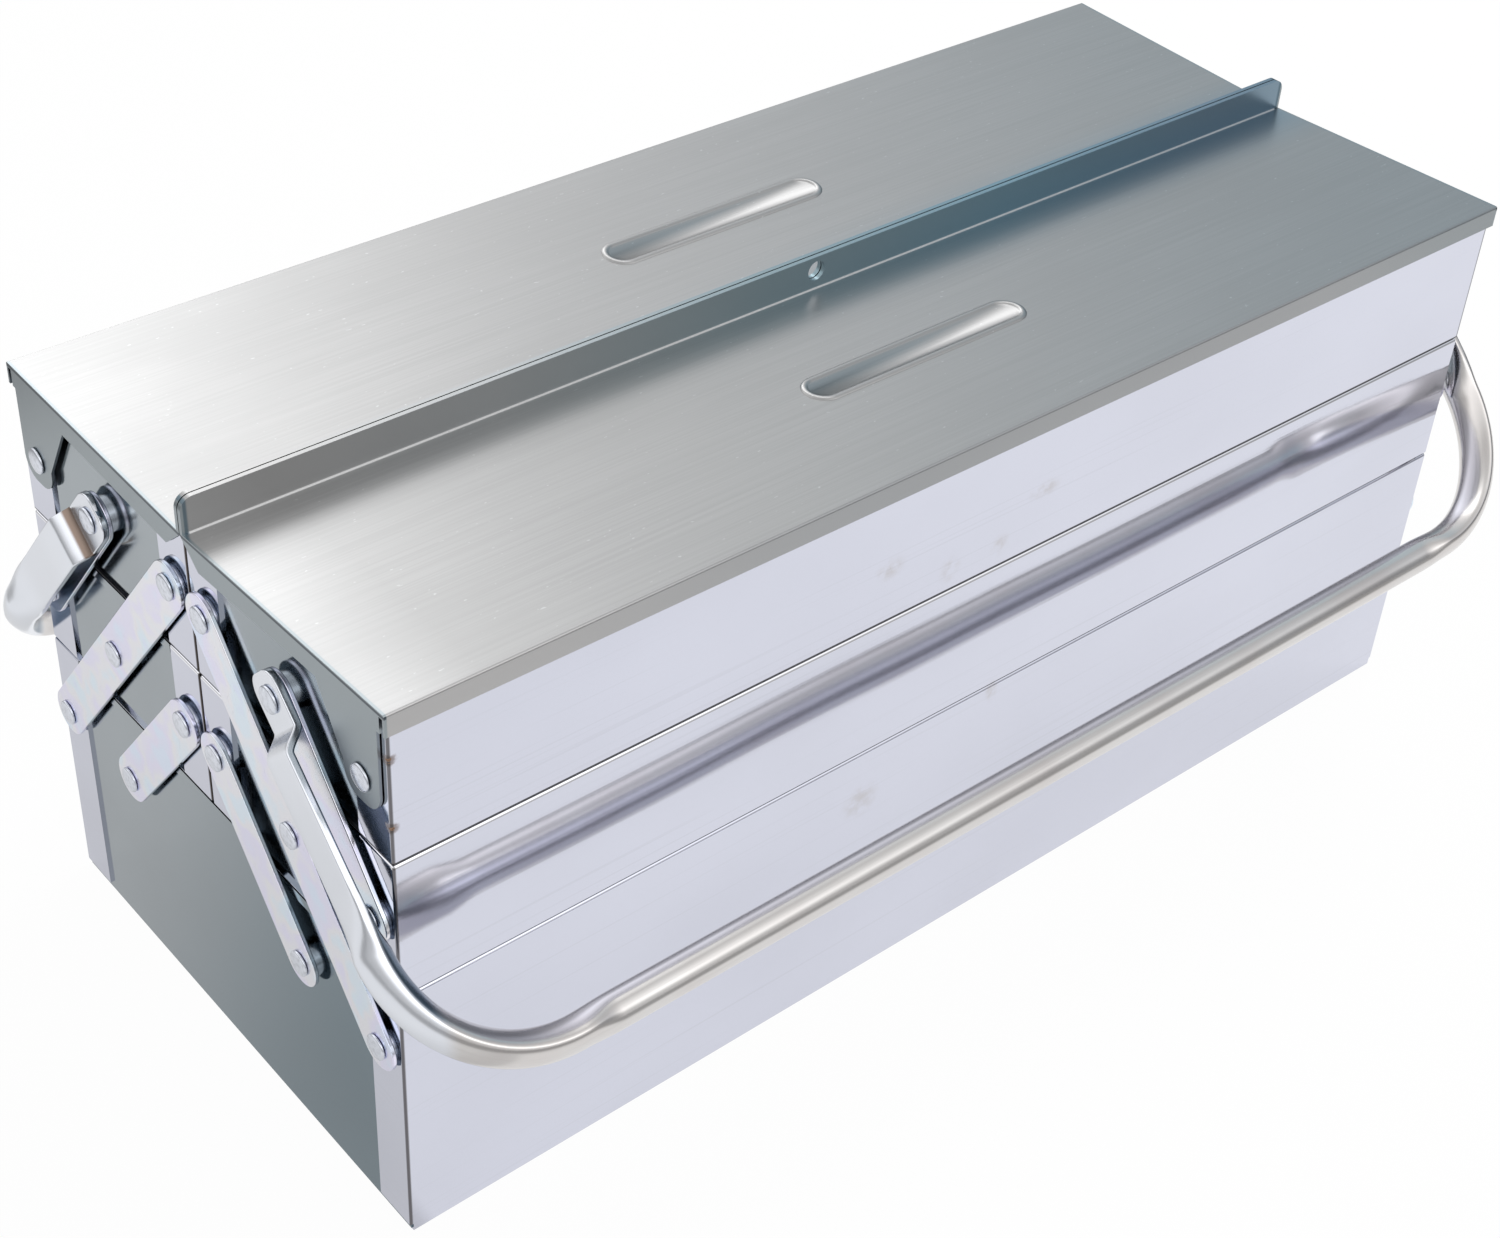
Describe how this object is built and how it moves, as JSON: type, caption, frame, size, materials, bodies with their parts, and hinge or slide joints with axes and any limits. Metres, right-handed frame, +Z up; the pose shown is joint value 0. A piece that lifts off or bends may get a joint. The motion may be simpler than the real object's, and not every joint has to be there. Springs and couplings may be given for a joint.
{
  "type": "cantilever tool box",
  "caption": "Steel cantilever tool box: trays on parallel arms swing out to both sides of a deep bottom tray, two hinged lids meet at a padlock ridge, tube handles at front and rear.",
  "frame": {"origin": "centre of the flat base, on the surface the box stands on", "axes": "+X along the box's length towards its right end, -Y towards the front handle, +Z up"},
  "size_m": [0.456, 0.2551, 0.2011],
  "materials": {
    "tray_sheet": "mirror-bright sheet",
    "lid_sheet": "satin sheet",
    "end_sheet": "mill-finish sheet",
    "zinc_plated_arm": "zinc plated",
    "rivet_steel": "plated steel",
    "handle_tube": "satin nickel tube"
  },
  "bodies": {
    "bottom_tray": {"bottom_tray_shell": "tray_sheet", "bottom_tray_left_end": "end_sheet", "bottom_tray_right_end": "end_sheet", "bottom_tray_rivets": "rivet_steel", "bottom_tray_washers": "rivet_steel"},
    "front_arms": {"front_long_arm_left": "zinc_plated_arm", "front_long_arm_right": "zinc_plated_arm"},
    "front_lower_links": {"front_lower_link_left": "zinc_plated_arm", "front_lower_link_right": "zinc_plated_arm"},
    "front_upper_links": {"front_upper_link_left": "zinc_plated_arm", "front_upper_link_right": "zinc_plated_arm"},
    "front_middle_tray": {"front_middle_tray_shell": "tray_sheet", "front_middle_tray_left_end": "end_sheet", "front_middle_tray_right_end": "end_sheet", "front_middle_tray_rivets": "rivet_steel", "front_middle_tray_washers": "rivet_steel"},
    "front_top_tray": {"front_top_tray_shell": "tray_sheet", "front_top_tray_left_end": "end_sheet", "front_top_tray_right_end": "end_sheet", "front_top_tray_rivets": "rivet_steel", "front_top_tray_washers": "rivet_steel", "front_handle_rivets": "rivet_steel", "front_lid_rivets": "rivet_steel"},
    "front_lid": {"front_lid": "lid_sheet"},
    "front_handle": {"front_handle": "handle_tube"},
    "rear_arms": {"rear_long_arm_left": "zinc_plated_arm", "rear_long_arm_right": "zinc_plated_arm"},
    "rear_lower_links": {"rear_lower_link_left": "zinc_plated_arm", "rear_lower_link_right": "zinc_plated_arm"},
    "rear_upper_links": {"rear_upper_link_left": "zinc_plated_arm", "rear_upper_link_right": "zinc_plated_arm"},
    "rear_middle_tray": {"rear_middle_tray_shell": "tray_sheet", "rear_middle_tray_left_end": "end_sheet", "rear_middle_tray_right_end": "end_sheet", "rear_middle_tray_rivets": "rivet_steel", "rear_middle_tray_washers": "rivet_steel"},
    "rear_top_tray": {"rear_top_tray_shell": "tray_sheet", "rear_top_tray_left_end": "end_sheet", "rear_top_tray_right_end": "end_sheet", "rear_top_tray_rivets": "rivet_steel", "rear_top_tray_washers": "rivet_steel", "rear_handle_rivets": "rivet_steel", "rear_lid_rivets": "rivet_steel"},
    "rear_lid": {"rear_lid": "lid_sheet"},
    "rear_handle": {"rear_handle": "handle_tube"}
  },
  "joints": [
    {"name": "front_swing", "type": "hinge", "parent": "bottom_tray", "child": "front_arms", "pos_m": [0, -0.0851, 0.072], "axis": [1, 0, 0], "range_deg": [0, 76]},
    {"name": "front_middle_tray_pivot", "type": "hinge", "parent": "front_arms", "child": "front_middle_tray", "pos_m": [0, -0.0469, 0.1199], "axis": [1, 0, 0], "range_deg": [-76, 0]},
    {"name": "front_top_tray_pivot", "type": "hinge", "parent": "front_arms", "child": "front_top_tray", "pos_m": [0, -0.0087, 0.1678], "axis": [1, 0, 0], "range_deg": [-76, 0]},
    {"name": "front_lower_link_pivot", "type": "hinge", "parent": "bottom_tray", "child": "front_lower_links", "pos_m": [0, -0.0469, 0.072], "axis": [1, 0, 0], "range_deg": [0, 76]},
    {"name": "front_upper_link_pivot", "type": "hinge", "parent": "front_middle_tray", "child": "front_upper_links", "pos_m": [0, -0.0851, 0.1199], "axis": [1, 0, 0], "range_deg": [0, 76]},
    {"name": "front_lid_hinge", "type": "hinge", "parent": "front_top_tray", "child": "front_lid", "pos_m": [0, -0.083, 0.166], "axis": [1, 0, 0], "range_deg": [0, 118]},
    {"name": "front_handle_pivot", "type": "hinge", "parent": "front_top_tray", "child": "front_handle", "pos_m": [0, -0.0469, 0.1678], "axis": [-1, 0, 0], "range_deg": [-7, 155]},
    {"name": "rear_swing", "type": "hinge", "parent": "bottom_tray", "child": "rear_arms", "pos_m": [0, 0.0851, 0.072], "axis": [-1, 0, 0], "range_deg": [0, 76]},
    {"name": "rear_middle_tray_pivot", "type": "hinge", "parent": "rear_arms", "child": "rear_middle_tray", "pos_m": [0, 0.0469, 0.1199], "axis": [-1, 0, 0], "range_deg": [-76, 0]},
    {"name": "rear_top_tray_pivot", "type": "hinge", "parent": "rear_arms", "child": "rear_top_tray", "pos_m": [0, 0.0087, 0.1678], "axis": [-1, 0, 0], "range_deg": [-76, 0]},
    {"name": "rear_lower_link_pivot", "type": "hinge", "parent": "bottom_tray", "child": "rear_lower_links", "pos_m": [0, 0.0469, 0.072], "axis": [-1, 0, 0], "range_deg": [0, 76]},
    {"name": "rear_upper_link_pivot", "type": "hinge", "parent": "rear_middle_tray", "child": "rear_upper_links", "pos_m": [0, 0.0851, 0.1199], "axis": [-1, 0, 0], "range_deg": [0, 76]},
    {"name": "rear_lid_hinge", "type": "hinge", "parent": "rear_top_tray", "child": "rear_lid", "pos_m": [0, 0.083, 0.166], "axis": [-1, 0, 0], "range_deg": [0, 118]},
    {"name": "rear_handle_pivot", "type": "hinge", "parent": "rear_top_tray", "child": "rear_handle", "pos_m": [0, 0.0469, 0.1678], "axis": [1, 0, 0], "range_deg": [-1.5, 161]}
  ],
  "couplings": [
    {"joint": "front_middle_tray_pivot", "follows": "front_swing", "ratio": -1},
    {"joint": "front_top_tray_pivot", "follows": "front_swing", "ratio": -1},
    {"joint": "front_lower_link_pivot", "follows": "front_swing", "ratio": 1},
    {"joint": "front_upper_link_pivot", "follows": "front_swing", "ratio": 1},
    {"joint": "rear_middle_tray_pivot", "follows": "rear_swing", "ratio": -1},
    {"joint": "rear_top_tray_pivot", "follows": "rear_swing", "ratio": -1},
    {"joint": "rear_lower_link_pivot", "follows": "rear_swing", "ratio": 1},
    {"joint": "rear_upper_link_pivot", "follows": "rear_swing", "ratio": 1}
  ]
}
